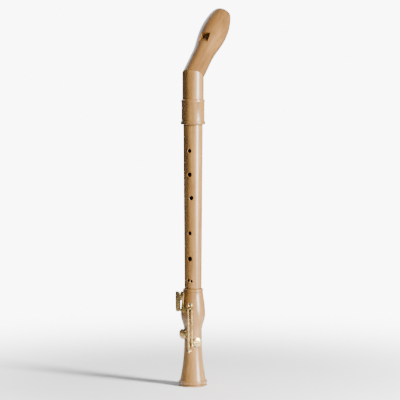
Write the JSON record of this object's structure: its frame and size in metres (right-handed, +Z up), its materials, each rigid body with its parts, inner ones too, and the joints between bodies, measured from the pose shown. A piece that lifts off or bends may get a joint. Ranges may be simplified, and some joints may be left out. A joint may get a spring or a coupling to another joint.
{
  "type": "tenor recorder",
  "caption": "Tenor recorder in pale fruitwood with a bent neck, a beak mouthpiece and a hinged brass C key and C sharp key on the belled foot joint.",
  "frame": {"origin": "middle of the underside of the whole box, on the plane of the foot's end", "axes": "+Z up the bore from the foot; the finger holes face -Y and the beak leans back towards +Y"},
  "size_m": [0.0466, 0.1462, 0.5902],
  "materials": {
    "pearwood": "satin oiled",
    "cedar": "bare",
    "cork": "matt cork",
    "pad": "soft pale leather",
    "steel": "plain",
    "blued_steel": "blued",
    "brass": "polished"
  },
  "bodies": {
    "foot": {"foot_joint": "pearwood", "c_key_lower_pillar": "brass", "c_key_upper_pillar": "brass", "c_key_axle": "steel", "c_key_needle_spring": "blued_steel", "c_sharp_key_lower_pillar": "brass", "c_sharp_key_upper_pillar": "brass", "c_sharp_key_axle": "steel", "c_sharp_key_needle_spring": "blued_steel"},
    "middle": {"middle_joint": "pearwood", "lower_tenon_cork": "cork", "upper_tenon_cork": "cork"},
    "head": {"neck_section": "pearwood", "beak_section": "pearwood"},
    "block": {"windway_block": "cedar"},
    "c_key": {"c_key_tube": "brass", "c_key_touch_arm": "brass", "c_key_touch": "brass", "c_key_cup_arm": "brass", "c_key_cup": "brass", "c_key_pad": "pad", "c_key_heel": "brass", "c_key_heel_cork": "cork"},
    "c_sharp_key": {"c_sharp_key_tube": "brass", "c_sharp_key_touch_arm": "brass", "c_sharp_key_touch": "brass", "c_sharp_key_cup_arm": "brass", "c_sharp_key_cup": "brass", "c_sharp_key_pad": "pad"}
  },
  "joints": [
    {"name": "foot_turn", "type": "hinge", "parent": "foot", "child": "middle", "pos_m": [0.00108, -0.04625, 0.1523], "axis": [0, 0, 1], "continuous": true},
    {"name": "head_slide", "type": "slide", "parent": "middle", "child": "head", "axis": [0, 0, 1], "range_m": [0, 0.031]},
    {"name": "block_slide", "type": "slide", "parent": "head", "child": "block", "axis": [0, 0.788, 0.6157], "range_m": [0, 0.07]},
    {"name": "c_key_press", "type": "hinge", "parent": "foot", "child": "c_key", "pos_m": [0.00173, -0.06494, 0.055], "axis": [-0.0016, 0.0447, -0.999], "range_deg": [0, 11], "stiffness_Nm_per_rad": 0.05, "springref_deg": -28.65},
    {"name": "c_sharp_key_press", "type": "hinge", "parent": "foot", "child": "c_sharp_key", "pos_m": [0.00707, -0.06449, 0.0648], "axis": [-0.0016, 0.0447, -0.999], "range_deg": [0, 14], "stiffness_Nm_per_rad": 0.05, "springref_deg": -28.65}
  ]
}
